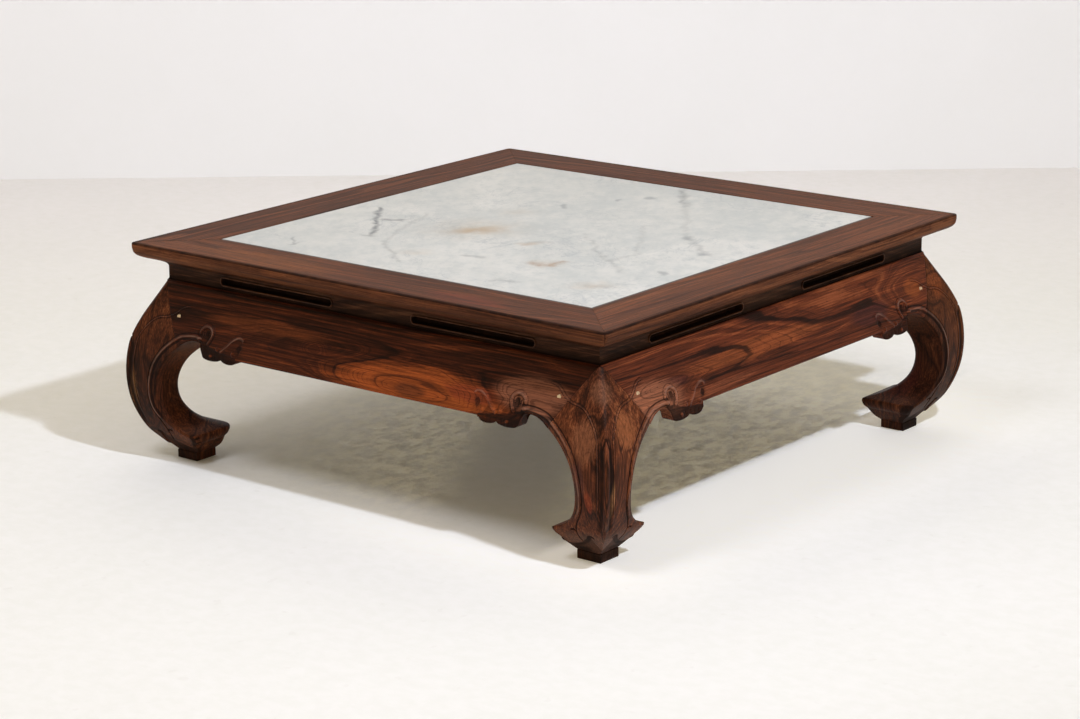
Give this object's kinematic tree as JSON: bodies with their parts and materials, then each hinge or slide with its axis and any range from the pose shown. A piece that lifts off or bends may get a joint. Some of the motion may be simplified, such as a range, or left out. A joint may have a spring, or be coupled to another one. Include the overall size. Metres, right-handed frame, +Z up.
{
  "type": "kang table",
  "caption": "Low square hardwood table with a marble-panelled top, recessed waist with long slots, bulging bracketed aprons and inward-curling legs on small pads.",
  "frame": {"origin": "on the floor, under the middle of the table", "axes": "+X to the right along the front, +Y from the front to the back, +Z up"},
  "size_m": [1.024, 1.024, 0.378],
  "materials": {
    "frame_wood": "satin",
    "base_wood": "satin",
    "inner_wood": "matte",
    "peg_wood": "matte",
    "marble": "satin"
  },
  "bodies": {
    "root": {"frame_stile_front": "frame_wood", "frame_stile_back": "frame_wood", "frame_rail_left": "frame_wood", "frame_rail_right": "frame_wood", "marble_slab": "marble", "brace_left": "inner_wood", "brace_middle": "inner_wood", "brace_right": "inner_wood", "waist_front": "base_wood", "waist_back": "base_wood", "waist_left": "base_wood", "waist_right": "base_wood", "apron_front": "base_wood", "apron_back": "base_wood", "apron_left": "base_wood", "apron_right": "base_wood", "key_front": "inner_wood", "key_back": "inner_wood", "key_left": "inner_wood", "key_right": "inner_wood", "leg_front_left": "base_wood", "leg_front_right": "base_wood", "leg_back_left": "base_wood", "leg_back_right": "base_wood", "joint_pegs": "peg_wood"}
  },
  "joints": []
}
